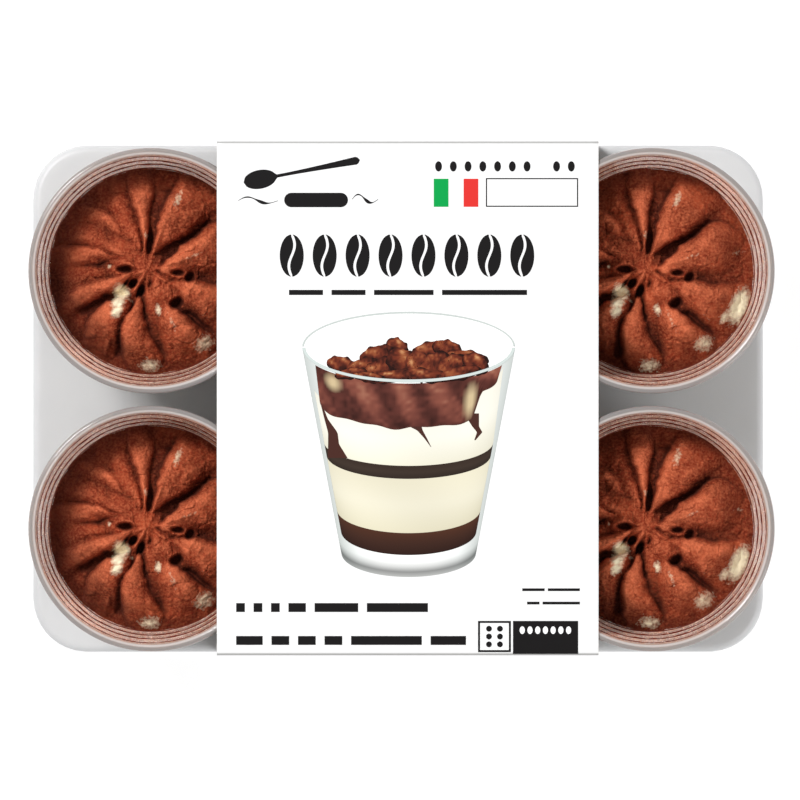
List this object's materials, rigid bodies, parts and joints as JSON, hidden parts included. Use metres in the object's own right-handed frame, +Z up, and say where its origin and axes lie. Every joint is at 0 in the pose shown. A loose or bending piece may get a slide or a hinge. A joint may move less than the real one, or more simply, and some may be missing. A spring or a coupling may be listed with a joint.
{
  "type": "multipack of tiramisu in glass tumblers",
  "caption": "Glass tumblers of layered tiramisu with piped cocoa-dusted tops, standing in a shallow plastic tray inside an open-ended printed card sleeve.",
  "frame": {"origin": "bottom centre of the whole pack, on the surface it lies on", "axes": "+X along the three columns of glasses, +Y across the two rows towards the top edge of the print, +Z up out of the printed face"},
  "size_m": [0.2176, 0.15, 0.0767],
  "materials": {
    "card": "white coated folding boxboard with flat printed fields",
    "tray": "pale grey thermoformed sheet, satin",
    "glass": "clear pressed glass, fire-polished rim",
    "cream": "smooth mascarpone cream, soft satin",
    "chocolate": "moist dark cocoa layer",
    "sponge": "coffee-soaked sponge, moist",
    "cocoa": "piped cream dusted with dry cocoa powder"
  },
  "bodies": {
    "root": {"sleeve": "card", "tray": "tray", "glass_front_left": "glass", "soaked_sponge_front_left": "sponge", "lower_cream_front_left": "cream", "cocoa_band_front_left": "chocolate", "upper_cream_front_left": "cream", "rosette_front_left": "cocoa", "glass_back_left": "glass", "soaked_sponge_back_left": "sponge", "lower_cream_back_left": "cream", "cocoa_band_back_left": "chocolate", "upper_cream_back_left": "cream", "rosette_back_left": "cocoa", "glass_front_middle": "glass", "soaked_sponge_front_middle": "sponge", "lower_cream_front_middle": "cream", "cocoa_band_front_middle": "chocolate", "upper_cream_front_middle": "cream", "rosette_front_middle": "cocoa", "glass_back_middle": "glass", "soaked_sponge_back_middle": "sponge", "lower_cream_back_middle": "cream", "cocoa_band_back_middle": "chocolate", "upper_cream_back_middle": "cream", "rosette_back_middle": "cocoa", "glass_front_right": "glass", "soaked_sponge_front_right": "sponge", "lower_cream_front_right": "cream", "cocoa_band_front_right": "chocolate", "upper_cream_front_right": "cream", "rosette_front_right": "cocoa", "glass_back_right": "glass", "soaked_sponge_back_right": "sponge", "lower_cream_back_right": "cream", "cocoa_band_back_right": "chocolate", "upper_cream_back_right": "cream", "rosette_back_right": "cocoa"}
  },
  "joints": []
}
